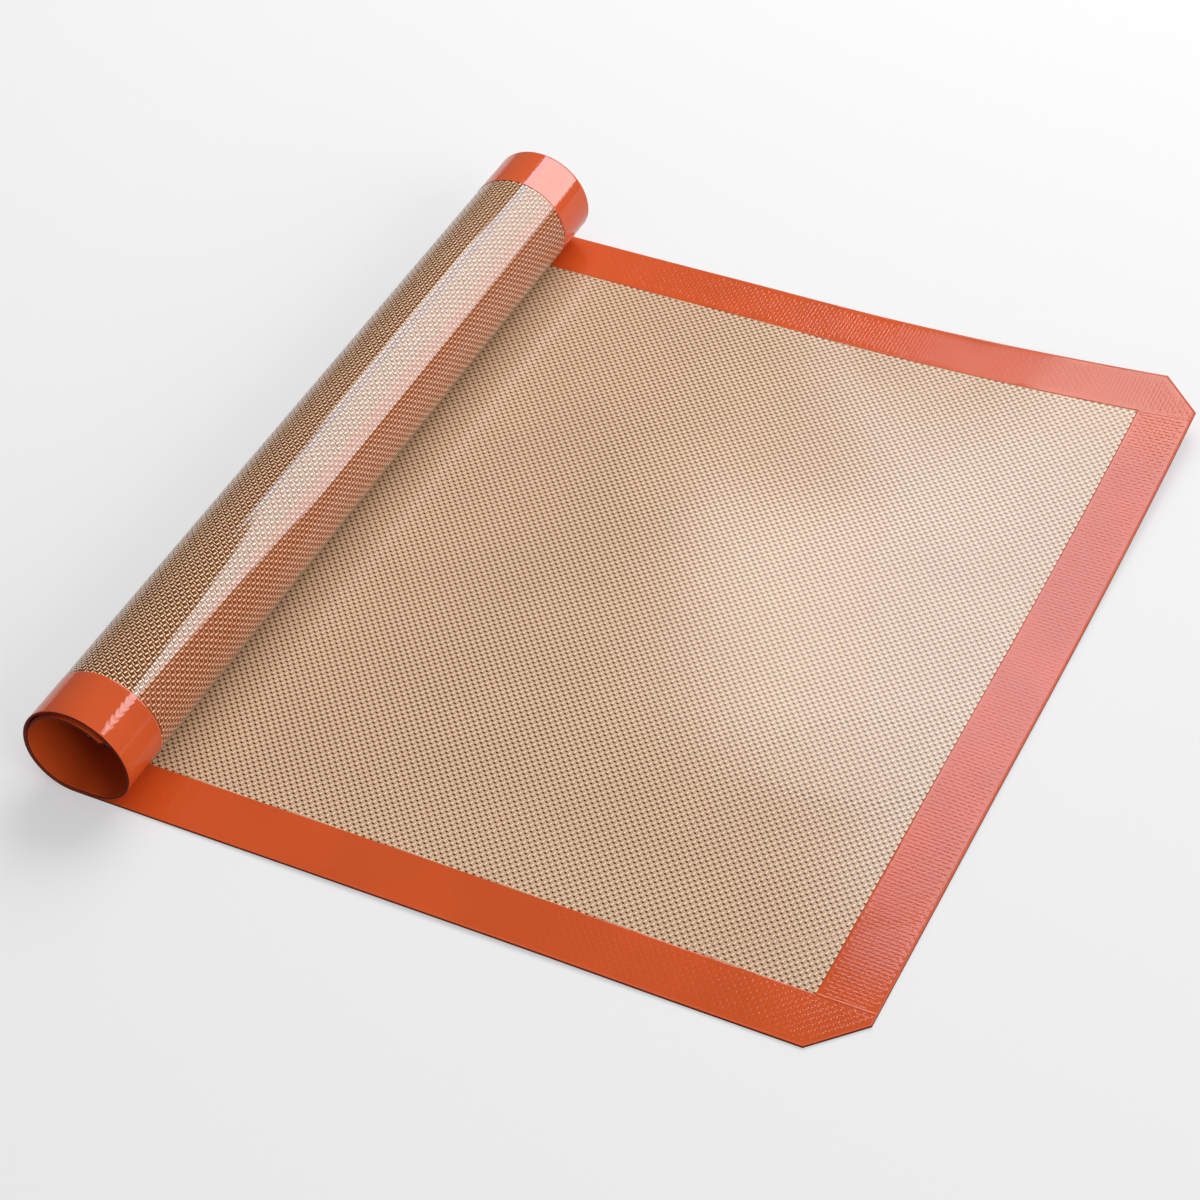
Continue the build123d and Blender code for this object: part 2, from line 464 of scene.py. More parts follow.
@cache
def crowns_tree():
    """The tree that sets low domes on every second crossing of the yarns and lays them down."""
    tree, add, given = group_tree("yarn crowns", CROWN_INPUTS, LAYING_INPUTS)

    # One point for each yarn crossing, numbered from the flat end and the mat's middle line.
    rows = given["Yarns across"]
    grid = add("GeometryNodeMeshGrid", 1.0, 1.0, given["Yarns along"], rows)[0]
    index = add("GeometryNodeInputIndex")[0]
    column = add("FunctionNodeIntegerMath", index, rows, operation="DIVIDE_FLOOR")[0]
    row = add("FunctionNodeIntegerMath", index, rows, operation="MODULO")[0]
    warp = add(MATH, row, given["First yarn across"], operation="ADD")[0]
    weft = add(MATH, column, given["First yarn along"], operation="ADD")[0]
    along = add(MATH, weft, given["Pitch along"], operation="MULTIPLY")[0]
    shifted = add(MATH, warp, given["Shift"], operation="ADD")[0]
    straight = add(MATH, shifted, given["Pitch across"], operation="MULTIPLY")[0]
    stray = add(MATH, along, given["Drift"], operation="MULTIPLY")[0]
    across = add(MATH, straight, stray, operation="ADD")[0]
    spot = add("ShaderNodeCombineXYZ", along, across, given["Level"])[0]
    placed = add("GeometryNodeSetPosition", {"Geometry": grid, "Position": spot})[0]

    # Only every second crossing has its own yarn on top, as in a plain weave.
    crossing = add(MATH, weft, warp, operation="ADD")[0]
    parity = add(MATH, crossing, 2.0, operation="FLOORED_MODULO")[0]
    empty = add(MATH, parity, given["Empty crossings"], 0.5, operation="COMPARE")[0]
    # No crown stands past its field or past the cut corners.
    low = add(MATH, across, given["Least across"], operation="LESS_THAN")[0]
    high = add(MATH, across, given["Most across"], operation="GREATER_THAN")[0]
    other_end = add(MATH, given["Mat length"], along, operation="SUBTRACT")[0]
    from_end = add(MATH, along, other_end, operation="MINIMUM")[0]
    aside = add(MATH, across, operation="ABSOLUTE")[0]
    from_side = add(MATH, given["Half width"], aside, operation="SUBTRACT")[0]
    to_corner = add(MATH, from_end, from_side, operation="ADD")[0]
    cut = add(MATH, to_corner, given["Corner cut"], operation="LESS_THAN")[0]
    unwanted = empty
    for fault in (low, high, cut):
        unwanted = add(MATH, unwanted, fault, operation="MAXIMUM")[0]
    kept = add("GeometryNodeDeleteGeometry", placed, unwanted, domain="POINT")[0]
    dome_sizes = {"Vertices": CROWN_SIDES, "Side Segments": 1, "Depth": 1.0}
    dome_radii = {"Radius Top": 0.0, "Radius Bottom": 1.0}
    dome = add("GeometryNodeMeshCone", {**dome_sizes, **dome_radii}, fill_type="NONE")["Mesh"]
    turn = add("ShaderNodeCombineXYZ", {"X": given["Turn over"], "Z": given["Lean"]})[0]
    crowns = add(
        "GeometryNodeInstanceOnPoints",
        {"Points": kept, "Instance": dome, "Rotation": turn, "Scale": given["Crown size"]},
    )[0]
    real = add("GeometryNodeRealizeInstances", crowns)[0]
    smooth = add("GeometryNodeSetShadeSmooth", real)[0]

    # A map of the unrolled field, so that a baked pattern keeps its place on every crown.
    position = add("GeometryNodeInputPosition")[0]
    offset = add(VECTOR_MATH, position, given["Map start"], operation="SUBTRACT")[0]
    map_place = add(VECTOR_MATH, offset, given["Map size"], operation="DIVIDE")[0]
    mapped = add(
        "GeometryNodeStoreNamedAttribute",
        {"Geometry": smooth, "Name": "OFBake", "Value": map_place},
        data_type="FLOAT2",
        domain="CORNER",
    )[0]
    laying_inputs = {label: given[label] for labels in LAYING_INPUTS.values() for label in labels}
    laid = add("GeometryNodeGroup", mapped, laying_inputs, node_tree=laying_tree())[0]

    # The even film over the yarns, as the way that the carrying sheet faces.
    carrier = add("GeometryNodeObjectInfo", {"Object": given["Carrier"]})["Geometry"]
    facing = add("GeometryNodeInputNormal")[0]
    film = add(
        "GeometryNodeSampleNearestSurface",
        {"Mesh": carrier, "Value": facing},
        data_type="FLOAT_VECTOR",
    )[0]
    filmed = add(
        "GeometryNodeStoreNamedAttribute",
        {"Geometry": laid, "Name": "film_facing", "Value": film},
        data_type="FLOAT_VECTOR",
        domain="POINT",
    )[0]
    look = {"Geometry": filmed, "Material": given["Crown finish"]}
    finished = add("GeometryNodeSetMaterial", look)[0]
    add("NodeGroupOutput", finished)
    return tree


def run_tree(flat_piece, name, tree, values):
    """Runs a tree on a flat piece and returns the result as a plain mesh object."""
    modifier = flat_piece.modifiers.new("lay", "NODES")
    modifier.node_group = tree
    given = {**laying_values(), **values}
    for item in tree.interface.items_tree:
        if item.in_out == "INPUT" and item.name in given:
            modifier[item.identifier] = given[item.name]
    bpy.context.view_layer.update()
    graph = bpy.context.evaluated_depsgraph_get()
    mesh = bpy.data.meshes.new_from_object(
        flat_piece.evaluated_get(graph), preserve_all_data_layers=True, depsgraph=graph
    )
    flat_piece.modifiers.clear()
    for index in reversed(range(len(mesh.materials))):
        if mesh.materials[index] is None:
            mesh.materials.pop(index=index)
    mesh.name = name
    bpy.data.objects.remove(flat_piece)
    if not mesh.polygons:
        raise RuntimeError(f"{name} came out empty")
    return add_object(name, mesh)


# Flat shapes


def inset_cut(sizes, inset):
    """The corner cut of an outline that lies inside the mat's own by inset."""
    return sizes.corner_cut - (2 - math.sqrt(2)) * inset


def side_limit(sizes, along, inset):
    """How far from the mat's middle line its inset outline lies at a distance along it."""
    from_end = min(along, sizes.mat_length - along) - inset
    return sizes.mat_width / 2 - inset - max(0.0, inset_cut(sizes, inset) - from_end)


def columns_between(start, stop, sizes):
    """Distances along the mat, close together where it is rolled up and at the corner cuts."""
    rolled, flat, _ = roll_facts(sizes)
    fine = rolled / ROLL_STEPS
    coarse = flat / FLAT_STEPS
    cut = inset_cut(sizes, sizes.edge_seal_width) + sizes.edge_seal_width
    places = {start, stop, cut, sizes.mat_length - cut}
    places.update(coarse * i for i in range(1, FLAT_STEPS))
    places.update(flat + fine * i for i in range(ROLL_STEPS + 1))
    chosen = sorted(p for p in places if start <= p <= stop)
    kept = [chosen[0]]
    for place in chosen[1:]:
        if place - kept[-1] > LEAST_STEP * fine:
            kept.append(place)
    kept[-1] = stop
    return kept


def rimmed(places, rim):
    """The places with two more lines beside each end, for a rim and its flat neighbour."""
    if not rim:
        return places
    first, last = places[0], places[-1]
    return [first, first + rim, first + 2 * rim, *places[1:-1], last - 2 * rim, last - rim, last]


def slab(name, columns, limits, rows, low, high, rim=0.0):
    """A closed flat slab. limits gives the two sides, as places across, at a distance along.

    A rim rounds off the edges of its outer face, the one further from the sheet's middle.
    """
    columns = rimmed(columns, rim)
    outer, inner = (high, low) if abs(high) > abs(low) else (low, high)
    points = []
    for height in (low, high):
        for column, along in enumerate(columns):
            first, last = limits(along)
            spots = rimmed([first + (last - first) * i / rows for i in range(rows + 1)], rim)
            for row, across in enumerate(spots):
                at_edge = column in (0, len(columns) - 1) or row in (0, len(spots) - 1)
                dropped = rim and at_edge and height == outer
                level = outer + RIM_DROP * (inner - outer) if dropped else height
                points.append((along, across, level))
    layer = len(points) // 2
    count = layer // len(columns)
    faces = []
    for i in range(len(columns) - 1):
        for j in range(count - 1):
            a = i * count + j
            b, c, d = a + count, a + count + 1, a + 1
            faces.append((d, c, b, a))
            faces.append((layer + a, layer + b, layer + c, layer + d))
    # The walls, all round from one corner.
    starts = range(0, layer, count)
    ring = [*starts, *range(layer - count + 1, layer)]
    ring += [start + count - 1 for start in reversed(starts[:-1])]
    ring += reversed(range(1, count - 1))
    for a, b in zip(ring, ring[1:] + ring[:1]):
        faces.append((a, b, layer + b, layer + a))
    made = mesh_object(name, points, faces)
    made.data.shade_smooth()
    return made


# Finishes

# The silicone's own surface is its coat. What lies in or under it is dead matt.
MATT = {"Roughness": 0.8, "Specular IOR Level": 0.0}
SILICONE_IOR = 1.41
# Satin where the weave stands out on the baking face, whose fine haze takes part of the gloss.
SATIN = {**MATT, "Coat Weight": 0.66, "Coat Roughness": 0.15, "Coat IOR": SILICONE_IOR}
# Clearer on the thick border, which is smoother than the weave.
GLOSSY = {**MATT, "Coat Weight": 0.62, "Coat Roughness": 0.06, "Coat IOR": SILICONE_IOR}
# Nearly mirror-smooth on the underside, which was cured against a polished belt.
POLISHED = {**MATT, "Coat Weight": 1.0, "Coat Roughness": 0.05, "Coat IOR": SILICONE_IOR}
# Over the yarns that film is thinnest, and its gloss is broken.
BROKEN = {**POLISHED, "Coat Weight": 0.65}

# What a finish is, its surface on the baking face and on the underside, and its soft patches:
# their reach, their finer detail, and how much darker and lighter they get. tinted says how much
# of the inner border shows through it, and filmed whether its gloss is that of the even film.
Finish = namedtuple("Finish", "name top underside reach detail darker lighter tinted filmed")
FINISHES = {
    # Clear silicone over woven glass: tan to brown, mottled where its thickness varies. The
    # underside's dark brown is partly painted shade: the roll's dark inside seen through the film.
    "film": Finish("clear silicone film", SATIN, POLISHED, 35 * MM, 1.0, 0.015, 0.015, 1.0, False),
    # Glass yarns soaked with silicone: pale threads, and the ones that lie deeper are browner.
    "weft": Finish(
        "glass weft yarn under film", SATIN, BROKEN, 35 * MM, 4.0, 0.015, 0.0075, 0.22, True
    ),
    "warp": Finish(
        "glass warp yarn under film", SATIN, BROKEN, 35 * MM, 4.0, 0.02, 0.01, 0.4, True
    ),
    # The holes between yarns are filled with clear silicone: dark brown, with the film's gloss. The
    # dark is partly the hole and partly painted shade on the dent's back wall.
    "pit": Finish(
        "hole in the cloth under film", SATIN, BROKEN, 35 * MM, 4.0, 0.06, 0.03, 0.45, True
    ),
    # Opaque coloured silicone: an even, glossy skin whose colour hardly varies.
    "border": Finish("pigmented silicone", GLOSSY, POLISHED, 30 * MM, 1.0, 0.05, 0.03, 0.0, False),
}
# Where the noise turns from a patch to what lies between patches.
PATCH_LOW, PATCH_HIGH = 0.32, 0.68
# The part of the roll's third quarter turn that lies close over the inner turn's border, with
# soft ends of this share of the border's width.
TINT_FIRST, TINT_LAST = 0.45, 1.10
TINT_EDGE = 0.1
# The inputs and the output of a mix node that hold its factor and its colours.
MIX_FACTOR, MIX_FIRST, MIX_SECOND, MIXED = 0, 6, 7, 2


def principled(name, settings):
    """A new material with its shader's constant values, its tree and the shader's inputs."""
    material = bpy.data.materials.new(name)
    material.use_nodes = True
    shader = material.node_tree.nodes["Principled BSDF"]
    for key, value in settings.items():
        shader.inputs[key].default_value = value
    return material, material.node_tree, shader.inputs


def shaded(colour_value, factor):
    """A colour made darker or lighter by a factor."""
    return tuple(min(1.0, c * factor) for c in colour_value[:3]) + (1.0,)


def patches(tree, facts, base):
    """A finish's colour, which strays a little in soft patches of the unrolled mat."""
    place = add_node(tree, "ShaderNodeAttribute", attribute_name="on_mat")["Vector"]
    noise_inputs = {"Vector": place, "Scale": 1.0 / facts.reach, "Detail": facts.detail}
    cloud = add_node(tree, "ShaderNodeTexNoise", noise_inputs, noise_dimensions="2D")[0]
    factor = add_node(
        tree, "ShaderNodeMapRange", cloud, PATCH_LOW, PATCH_HIGH, interpolation_type="SMOOTHSTEP"
    )[0]
    dark = shaded(base, 1 - facts.darker)
    light = shaded(base, 1 + facts.lighter)
    colours = {MIX_FACTOR: factor, MIX_FIRST: dark, MIX_SECOND: light}
    return add_node(tree, "ShaderNodeMix", colours, data_type="RGBA")[MIXED]


def tint_zone(tree):
    """Where the inner turn's border strip lies close behind the outer turn, from 0 to 1."""
    sizes = bpy.context.scene.mat_sizes
    turns = [stretch_length(s) for s in roll_stretches(sizes)]
    top = roll_facts(sizes)[1] + turns[0] + turns[1]
    first = top + turns[2] * TINT_FIRST
    last = top + turns[2] * TINT_LAST
    edge = TINT_EDGE * sizes.border_width
    place = add_node(tree, "ShaderNodeAttribute", attribute_name="on_mat")["Vector"]
    along = add_node(tree, "ShaderNodeSeparateXYZ", place)["X"]
    inward, outward = [
        add_node(tree, "ShaderNodeMapRange", along, low, high, interpolation_type="SMOOTHSTEP")[0]
        for low, high in ((first - edge, first + edge), (last + edge, last - edge))
    ]
    return add_node(tree, MATH, inward, outward, operation="MULTIPLY")[0]


@cache
def finish(kind, face):
    """The material of one finish on one face, made the first time that it is asked for."""
    facts = FINISHES[kind]
    colours = bpy.context.scene.mat_colours
    surface, side = (facts.top, "top") if face == "top" else (facts.underside, "under")
    material, tree, shader = principled(f"{facts.name}, {face}", surface)
    shade = patches(tree, facts, getattr(colours, f"{kind}_{side}"))
    if face == "underside" and facts.tinted:
        zone = tint_zone(tree)
        part = add_node(tree, MATH, zone, facts.tinted, operation="MULTIPLY")[0]
        mixing = {MIX_FACTOR: part, MIX_FIRST: shade, MIX_SECOND: colours.tint}
        shade = add_node(tree, "ShaderNodeMix", mixing, data_type="RGBA")[MIXED]
    tree.links.new(shade, shader["Base Color"])
    if facts.filmed:
        film = add_node(tree, "ShaderNodeAttribute", attribute_name="film_facing")["Vector"]
        tree.links.new(film, shader["Coat Normal"])
    return material


def edge_silicone():
    """A thin bead of silicone round the cut edge, its side painted darker than the border as shade."""
    colours = bpy.context.scene.mat_colours
    surface = {"Roughness": 0.5, "Specular IOR Level": 0.1}
    material, tree, shader = principled("edge silicone", surface)
    place = add_node(tree, "ShaderNodeAttribute", attribute_name="on_mat")["Vector"]
    height = add_node(tree, "ShaderNodeSeparateXYZ", place)["Z"]
    away = add_node(tree, MATH, height, operation="ABSOLUTE")[0]
    face = add_node(
        tree, "ShaderNodeMapRange", away, *BEAD_SHADE, interpolation_type="SMOOTHSTEP"
    )[0]
    mixing = {MIX_FACTOR: face, MIX_FIRST: colours.edge, MIX_SECOND: colours.border_top}
    shade = add_node(tree, "ShaderNodeMix", mixing, data_type="RGBA")[MIXED]
    tree.links.new(shade, shader["Base Color"])
    return material


# Operators


def finish_piece(piece, slot, *replaces):
    """Puts a finished piece on the mat's body and hides the nodes that it stands for."""
    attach(piece, "root")
    if replaces:
        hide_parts(*replaces)


def layer_piece(flat, name, material, slot, *replaces):
    """Lays a flat piece of one material along the roll line."""
    flat.data.materials.append(material)
    piece = run_tree(flat, name, laying_tree(), {})
    finish_piece(piece, slot, *replaces)
    return piece


def strip_piece(name, face, columns, limits, rows, top, rim, *replaces):
    """A strip of coloured silicone on one face, up to a height over the sheet's middle."""
    half = bpy.context.scene.mat_sizes.sheet_thickness / 2
    low, high = sorted((FACES[face] * STRIP_SEAT * half, FACES[face] * top))
    flat = slab(f"flat_{name}", columns, limits, rows, low, high, rim)
    return layer_piece(flat, name, finish("border", face), "orange_silicone", *replaces)


def border_facts(sizes):
    """The seal's width, half the window's width, half the thickness, and the end strips' spans."""
    inset, end = sizes.edge_seal_width, sizes.mat_length
    ends = {
        "flat_end": (inset, sizes.border_width),
        "rolled_end": (end - sizes.border_width, end - inset),
    }
    return inset, sizes.mat_width / 2 - sizes.border_width, sizes.sheet_thickness / 2, ends


# A crown's half sizes along and across the mat, its height, the level it stands on, its shift
# across in yarns, whether it stands on the odd crossings, and how far it is turned.
CROWN_FACTS = "half_along half_across height level shift odd lean"
Crown = namedtuple("Crown", CROWN_FACTS, defaults=(0.0, False, 0.0))


def crowns_piece(name, kind, face, slot, along, across, crown, carrier):
    """One field of crowns on one face. along and across are the limits of their middles."""
    sizes = bpy.context.scene.mat_sizes
    weave = bpy.context.scene.weave_sizes
    sign = FACES[face]
    sunk = CROWN_SUNK * crown.height
    first = math.ceil(along[0] / weave.pitch_along)
    last = math.floor(along[1] / weave.pitch_along)
    stray = weave.drift * sizes.mat_length
    reach = max(abs(across[0]), abs(across[1])) + stray
    aside = math.ceil(reach / weave.pitch_across) + 1
    clearance = CORNER_CLEARANCE * max(crown.half_along, crown.half_across)
    map_width = across[1] - across[0] + 2 * weave.pitch_across
    values = {
        "First yarn along": first,
        "Yarns along": last - first + 1,
        "First yarn across": -aside,
        "Yarns across": 2 * aside + 1,
        "Pitch along": weave.pitch_along,
        "Pitch across": weave.pitch_across,
        "Drift": weave.drift,
        "Empty crossings": 0.0 if crown.odd else 1.0,
        "Shift": crown.shift,
        "Least across": across[0],
        "Most across": across[1],
        "Crown size": (crown.half_along, crown.half_across, crown.height + sunk),
        "Lean": sign * crown.lean,
        "Level": sign * (crown.level - sunk),
        "Turn over": 0.0 if sign > 0 else math.pi,
        "Mat length": sizes.mat_length,
        "Half width": sizes.mat_width / 2,
        "Corner cut": sizes.corner_cut + clearance,
        "Map start": ((first - 1) * weave.pitch_along, across[0] - weave.pitch_across, 0.0),
        "Map size": ((last - first + 2) * weave.pitch_along, map_width, 1.0),
        "Carrier": carrier,
        "Crown finish": finish(kind, face),
    }
    piece = run_tree(mesh_object("flat_nothing", [], []), name, crowns_tree(), values)
    finish_piece(piece, slot)


class MAT_OT_woven_sheet(bpy.types.Operator):
    """Makes the glass cloth in its two clear coats, as one thin sheet from edge to edge"""

    bl_idname = "mat.woven_sheet"
    bl_label = "Woven sheet"

    def execute(self, context):
        sizes = context.scene.mat_sizes
        inset = sizes.edge_seal_width
        half = FILM_LEVEL * sizes.sheet_thickness / 2
        flat = slab(
            "flat_sheet",
            columns_between(inset, sizes.mat_length - inset, sizes),
            lambda along: (-side_limit(sizes, along, inset), side_limit(sizes, along, inset)),
            CROSS_STEPS,
            -half,
            half,
        )
        for face in FACES:
            flat.data.materials.append(finish("film", face))
        for polygon in flat.data.polygons:
            polygon.material_index = 1 if polygon.normal.z < -0.5 else 0
        finish_piece(
            run_tree(flat, "woven_sheet", laying_tree(), {}),
            "clear_silicone",
            "woven_glass_cloth",
            "top_silicone_coat",
            "underside_silicone_coat",
        )
        return {"FINISHED"}


class MAT_OT_yarn_crowns(bpy.types.Operator):
    """Sets the crowns of the glass yarns, and the holes between them, on the woven sheet"""

    bl_idname = "mat.yarn_crowns"
    bl_label = "Yarn crowns"

    def execute(self, context):
        sizes, weave = context.scene.mat_sizes, context.scene.weave_sizes
        window = sizes.mat_width / 2 - sizes.border_width
        along = (sizes.border_width, sizes.mat_length - sizes.border_width)
        level = FILM_LEVEL * sizes.sheet_thickness / 2
        long, wide = weave.pitch_along, weave.pitch_across
        width, reach = weave.weft_width * long, weave.weft_length * wide
        weft = Crown(width, reach, weave.weft_height, level, lean=weave.lean)
        warp = weft._replace(
            half_along=weave.warp_length * long,
            half_across=weave.warp_width * wide,
            height=weave.warp_height,
            shift=WARP_SHIFT,
            odd=True,
        )
        # Pits are dark discs: partly the holes between yarns, partly painted shade on each dent's back
        # wall.
        pit = warp._replace(
            half_along=weave.pit_width * long,
            half_across=weave.pit_length * wide,
            height=weave.pit_height,
            shift=PIT_SHIFT["top"],
            lean=PIT_LEAN * weave.lean,
        )
        # On the underside the warps lie deeper and show as thin slanting links between the wefts.
        # Their pale colour is partly painted highlight on each warp's lit flank.
        link = warp._replace(
            half_along=weave.link_length * long,
            half_across=weave.link_width * wide,
            height=LINK_HEIGHT * weave.under_height,
            shift=0.0,
            lean=weave.link_lean,
        )
        low_weft = weft._replace(half_along=weave.under_width * long, height=weave.under_height)
        low_pit = pit._replace(shift=PIT_SHIFT["underside"])
        shapes = {
            "top": {"weft": weft, "warp": warp, "pit": pit},
            "underside": {"weft": low_weft, "warp": link, "pit": low_pit},
        }
        carrier = bpy.data.objects["woven_sheet"]
        across = (-window, window)
        for face, crowns in shapes.items():
            for kind, crown in crowns.items():
                slot = "clear_silicone" if kind == "pit" else "glass_yarn"
                name = f"{kind}s_{face}"
                crowns_piece(name, kind, face, slot, along, across, crown, carrier)
        return {"FINISHED"}


class MAT_OT_border_strips(bpy.types.Operator):
    """Makes the coloured border strips on both faces, with the weave showing through them"""

    bl_idname = "mat.border_strips"
    bl_label = "Border strips"

    def execute(self, context):
        sizes, weave = context.scene.mat_sizes, context.scene.weave_sizes
        inset, window, half, ends = border_facts(sizes)
        side = sizes.mat_width / 2 - inset
        long, wide = weave.pitch_along, weave.pitch_across
        weft = Crown(RIB_HALF_WIDTH * long, weave.rib_reach * wide, 0.0, half)
        warp = Crown(weave.rib_reach * long, RIB_HALF_WIDTH * wide, 0.0, half, odd=True)
        # The side strips' limits across: the widest ones, and those at a distance along the mat.
        widths = {"front_side": (-side, -window), "back_side": (window, side)}
        outlines = {
            "front_side": lambda along: (-side_limit(sizes, along, inset), -window),
            "back_side": lambda along: (window, side_limit(sizes, along, inset)),
        }
        # The underside's ribs are nearly gone, as its belt pressed them flat.
        heights = {"top": weave.rib_height, "underside": weave.pressed * weave.rib_height}
        for face in FACES:
            for strip in STRIPS:
                at_end = strip in ends
                start, stop = ends.get(strip, (inset, sizes.mat_length - inset))
                across = widths.get(strip, (-window, window))
                name = f"{strip}_border_{face}"
                piece = strip_piece(
                    f"{name}_strip",
                    face,
                    columns_between(start, stop, sizes),
                    outlines.get(strip, lambda along: (-window, window)),
                    CROSS_STEPS if at_end else STRIP_STEPS,
                    half,
                    STRIP_RIM,
                    name,
                )
                # The yarns that run across a strip show more than those that run along it.
                for yarn, shape, long_rib in (("weft", weft, at_end), ("warp", warp, not at_end)):
                    rib = shape._replace(height=heights[face] * (LONG_RIB_HEIGHT if long_rib else 1.0))
                    crowns_piece(
                        f"{name}_{yarn}_ribs",
                        "border",
                        face,
                        "orange_silicone",
                        (start + rib.half_along, stop - rib.half_along),
                        (across[0] + rib.half_across, across[1] - rib.half_across),
                        rib,
                        piece,
                    )
        return {"FINISHED"}


class MAT_OT_overlaps(bpy.types.Operator):
    """Makes the low ridges where the side strips lie over the ends of the end strips"""

    bl_idname = "mat.overlaps"
    bl_label = "Overlap ridges"

    def execute(self, context):
        sizes, weave = context.scene.mat_sizes, context.scene.weave_sizes
        _, window, half, ends = border_facts(sizes)
        width = weave.ridge_width
        # The back strip's overlaps are all but pressed flat.
        sides = (("front", -window, 1.0), ("back", window, weave.pressed))
        for face in FACES:
            height = weave.ridge_height * (1.0 if face == "top" else weave.pressed)
            for end, (start, stop) in ends.items():
                for side, place, share_left in sides:
                    strip_piece(
                        f"overlap_ridge_{side}_{end}_{face}",
                        face,
                        columns_between(start, stop, sizes),
                        lambda along: (place - width / 2, place + width / 2),
                        2,
                        half + share_left * height,
                        RIDGE_RIM * width,
                    )
        return {"FINISHED"}


class MAT_OT_edge_seal(bpy.types.Operator):
    """Makes the rounded bead that seals the cut edge all round"""

    bl_idname = "mat.edge_seal"
    bl_label = "Edge seal"

    def execute(self, context):
        sizes = context.scene.mat_sizes
        end, side = sizes.mat_length, sizes.mat_width / 2
        cut = sizes.corner_cut
        corners = [
            (cut, -side),
            (end - cut, -side),
            (end, -side + cut),
            (end, side - cut),
            (end - cut, side),
            (cut, side),
            (0.0, side - cut),
            (0.0, -side + cut),
        ]
        step = roll_facts(sizes)[0] / ROLL_STEPS
        path = []
        for index, corner in enumerate(corners):
            here = Vector((*corner, 0.0))
            there = Vector((*corners[(index + 1) % len(corners)], 0.0))
            parts = max(1, round((there - here).length / (2 * step)))
            path.extend(here.lerp(there, i / parts) for i in range(parts))
        deep = sizes.edge_seal_width * BEAD_REACH
        tall = sizes.sheet_thickness / 2
        # How far the bead's upper half lies inside the cut edge, and its height.
        upper = [(inside * deep, height * tall) for inside, height in BEAD_SECTION]
        section = [(inside, -height) for inside, height in reversed(upper)] + upper
        points, faces = [], []
        count = len(section)
        for index, spot in enumerate(path):
            before, after = path[index - 1], path[(index + 1) % len(path)]
            along_in = (spot - before).normalized()
            along_out = (after - spot).normalized()
            middle = (along_in + along_out).normalized()
            inward = Vector((-middle.y, middle.x, 0.0)) / middle.dot(along_out)
            for inside, height in section:
                points.append(tuple(spot + inward * inside + Vector((0.0, 0.0, height))))
            a, b = index * count, ((index + 1) % len(path)) * count
            for i in range(count):
                j = (i + 1) % count
                faces.append((a + i, b + i, b + j, a + j))
        flat = mesh_object("flat_seal", points, faces)
        flat.data.shade_smooth()
        layer_piece(flat, "edge_bead", edge_silicone(), "edge_silicone", "cut_edge_seal")
        return {"FINISHED"}


# A lamp's size and place, and the settings of its glow and tint. One without a tint is soft and
# looks at the mat. One with a tint faces straight forward and shows in reflections only.
Lamp = namedtuple("Lamp", "name place size glow tint")
LAMPS = (
    Lamp("soft_back", (0.0, 0.95, 0.95), (1.4, 0.9), "back_glow", None),
    Lamp("soft_side", (3.0, -0.9, 1.6), (2.2, 1.8), "side_glow", None),
    # The window behind the mat, its left part that shows clear sky, and a pane beside that.
    Lamp("window", (0.645, 1.2, 1.03), (1.55, 1.3), "window_glow", "window_colour"),
    Lamp("window_left", (-0.27, 1.2, 1.03), (0.28, 1.3), "window_glow", "window_sky"),
    Lamp("window_pane", (-0.49, 1.2, 1.28), (0.16, 0.34), "window_glow", "window_colour"),
)
FORWARD = (0.0, -1.0, 0.0)
# The room is brightest up and to the back, and dark to the front, by these shares of its glow.
ROOM_BRIGHTEST = (0.25, 0.6, 0.76)
ROOM_DARK, ROOM_BRIGHT = 0.2, 1.8
FLOOR_REACH = 4.0
FLOOR_LEVEL = -0.05 * MM


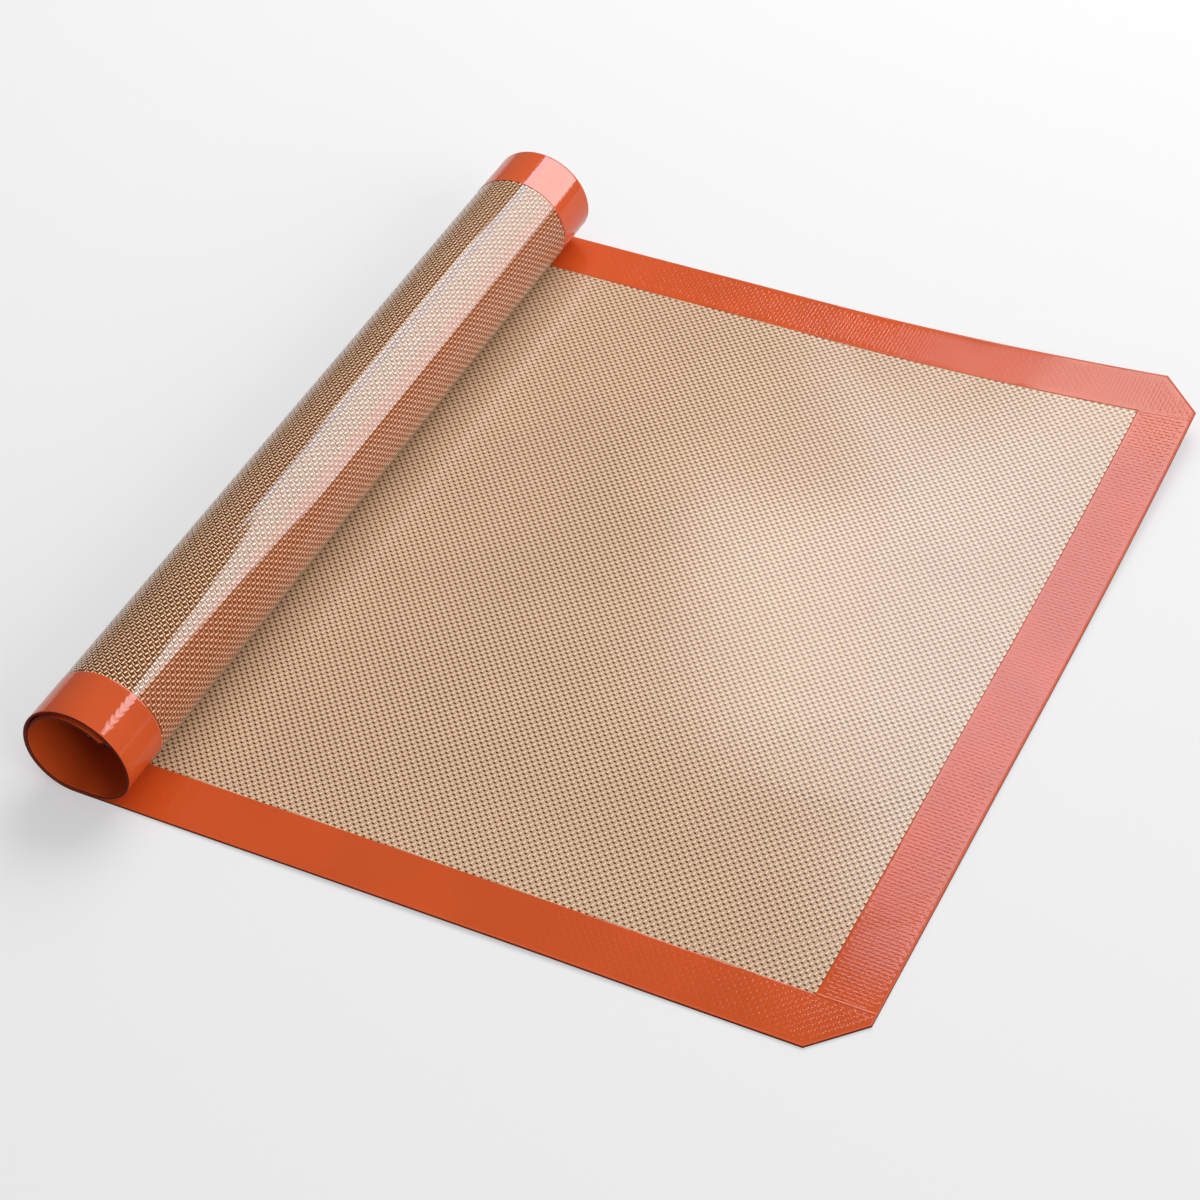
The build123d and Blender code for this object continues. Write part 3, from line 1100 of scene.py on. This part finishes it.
class MAT_OT_stage(bpy.types.Operator):
    """Makes the pale floor, the lamps, the soft room and the camera"""

    bl_idname = "mat.stage"
    bl_label = "Stage"

    def execute(self, context):
        settings = context.scene.stage_settings
        self.add_floor(tuple(context.scene.mat_colours.floor), settings.floor_glow)
        for lamp in LAMPS:
            self.add_lamp(lamp, settings)
        self.add_room(context.scene, settings)
        self.add_camera(context.scene, settings)
        context.scene.view_settings.view_transform = "Standard"
        return {"FINISHED"}

    def add_floor(self, board, own_glow):
        """Adds a pale matt board.

        To the eye and in reflections a share of its brightness is its own, so that shadows on
        it stay soft and light.
        """
        corners = ((-1, -1), (1, -1), (1, 1), (-1, 1))
        points = [(x * FLOOR_REACH, y * FLOOR_REACH, FLOOR_LEVEL) for x, y in corners]
        floor = mesh_object("floor", points, [(0, 1, 2, 3)])
        surface = {
            "Base Color": shaded(board, 1 - own_glow),
            "Roughness": 0.9,
            "Specular IOR Level": 0.0,
            "Emission Color": board,
        }
        material, tree, shader = principled("lit matt board", surface)
        ray = add_node(tree, "ShaderNodeLightPath")
        seen = ray["Is Camera Ray"]
        for kind in ("Is Glossy Ray", "Is Transmission Ray"):
            seen = add_node(tree, MATH, seen, ray[kind], operation="MAXIMUM")[0]
        glow = add_node(tree, MATH, seen, own_glow, operation="MULTIPLY")[0]
        tree.links.new(glow, shader["Emission Strength"])
        floor.data.materials.append(material)

    def add_lamp(self, lamp, settings):
        """Adds a panel of light."""
        data = bpy.data.lights.new(lamp.name, "AREA")
        data.shape = "RECTANGLE"
        data.size, data.size_y = lamp.size
        data.energy = getattr(settings, lamp.glow) * math.pi * lamp.size[0] * lamp.size[1]
        panel = add_object(lamp.name, data)
        panel.location = lamp.place
        aim = Vector(FORWARD) if lamp.tint else -Vector(lamp.place)
        panel.rotation_euler = aim.to_track_quat("-Z", "Y").to_euler()
        if lamp.tint:
            data.color = getattr(settings, lamp.tint)[:3]
        panel.visible_diffuse = not lamp.tint
        panel.visible_glossy = bool(lamp.tint)

    def add_room(self, scene, settings):
        """Adds the soft light from all round."""
        world = bpy.data.worlds.new("soft room")
        world.use_nodes = True
        tree = world.node_tree
        heading = add_node(tree, "ShaderNodeTexCoord")["Generated"]
        towards = add_node(tree, VECTOR_MATH, heading, ROOM_BRIGHTEST, operation="DOT_PRODUCT")
        least, most = ROOM_DARK * settings.sky_glow, ROOM_BRIGHT * settings.sky_glow
        glow = add_node(tree, "ShaderNodeMapRange", towards["Value"], -1.0, 1.0, least, most)[0]
        background = tree.nodes["Background"].inputs
        background["Color"].default_value = (1.0, 1.0, 1.0, 1.0)
        tree.links.new(glow, background["Strength"])
        scene.world = world

    def add_camera(self, scene, settings):
        """Adds the camera that the photograph was taken with."""
        data = bpy.data.cameras.new("camera")
        data.sensor_width = 36.0
        data.lens = settings.camera_lens
        data.clip_start = 0.05
        camera = add_object("camera", data)
        right = Vector(settings.camera_right).normalized()
        back = -Vector(settings.camera_ahead).normalized()
        up = back.cross(right).normalized()
        turned = Matrix((right, up, back)).transposed().to_4x4()
        camera.matrix_world = Matrix.Translation(Vector(settings.camera_place)) @ turned
        scene.camera = camera


PIECES = (
    MAT_OT_woven_sheet,
    MAT_OT_yarn_crowns,
    MAT_OT_border_strips,
    MAT_OT_overlaps,
    MAT_OT_edge_seal,
    MAT_OT_stage,
)
GROUPS = {
    "mat_sizes": MatSizes,
    "weave_sizes": WeaveSizes,
    "mat_colours": MatColours,
    "stage_settings": StageSettings,
}


class MAT_PT_panel(bpy.types.Panel):
    """The sidebar panel with the mat's settings and its pieces"""

    bl_idname = "MAT_PT_panel"
    bl_label = "Baking mat"
    bl_space_type = "VIEW_3D"
    bl_region_type = "UI"
    bl_category = "Baking mat"

    def draw(self, context):
        for group in GROUPS:
            settings = getattr(context.scene, group)
            box = self.layout.box()
            for name in settings.__annotations__:
                box.prop(settings, name, text=name.replace("_", " ").capitalize())
        for piece in PIECES:
            self.layout.operator(piece.bl_idname)


def register():
    """Registers the settings, the operators and the panel."""
    for name, group in GROUPS.items():
        bpy.utils.register_class(group)
        setattr(bpy.types.Scene, name, bpy.props.PointerProperty(type=group))
    for item in (*PIECES, MAT_PT_panel):
        bpy.utils.register_class(item)


def unregister():
    """Takes them away again."""
    for item in reversed((*PIECES, MAT_PT_panel)):
        bpy.utils.unregister_class(item)
    for name, group in GROUPS.items():
        delattr(bpy.types.Scene, name)
        bpy.utils.unregister_class(group)


def main():
    """Makes the mat and its stage."""
    register()
    for piece in PIECES:
        group, name = piece.bl_idname.split(".")
        getattr(getattr(bpy.ops, group), name)()
    bpy.data.objects.remove(roll_line())


if __name__ == "__main__":
    main()
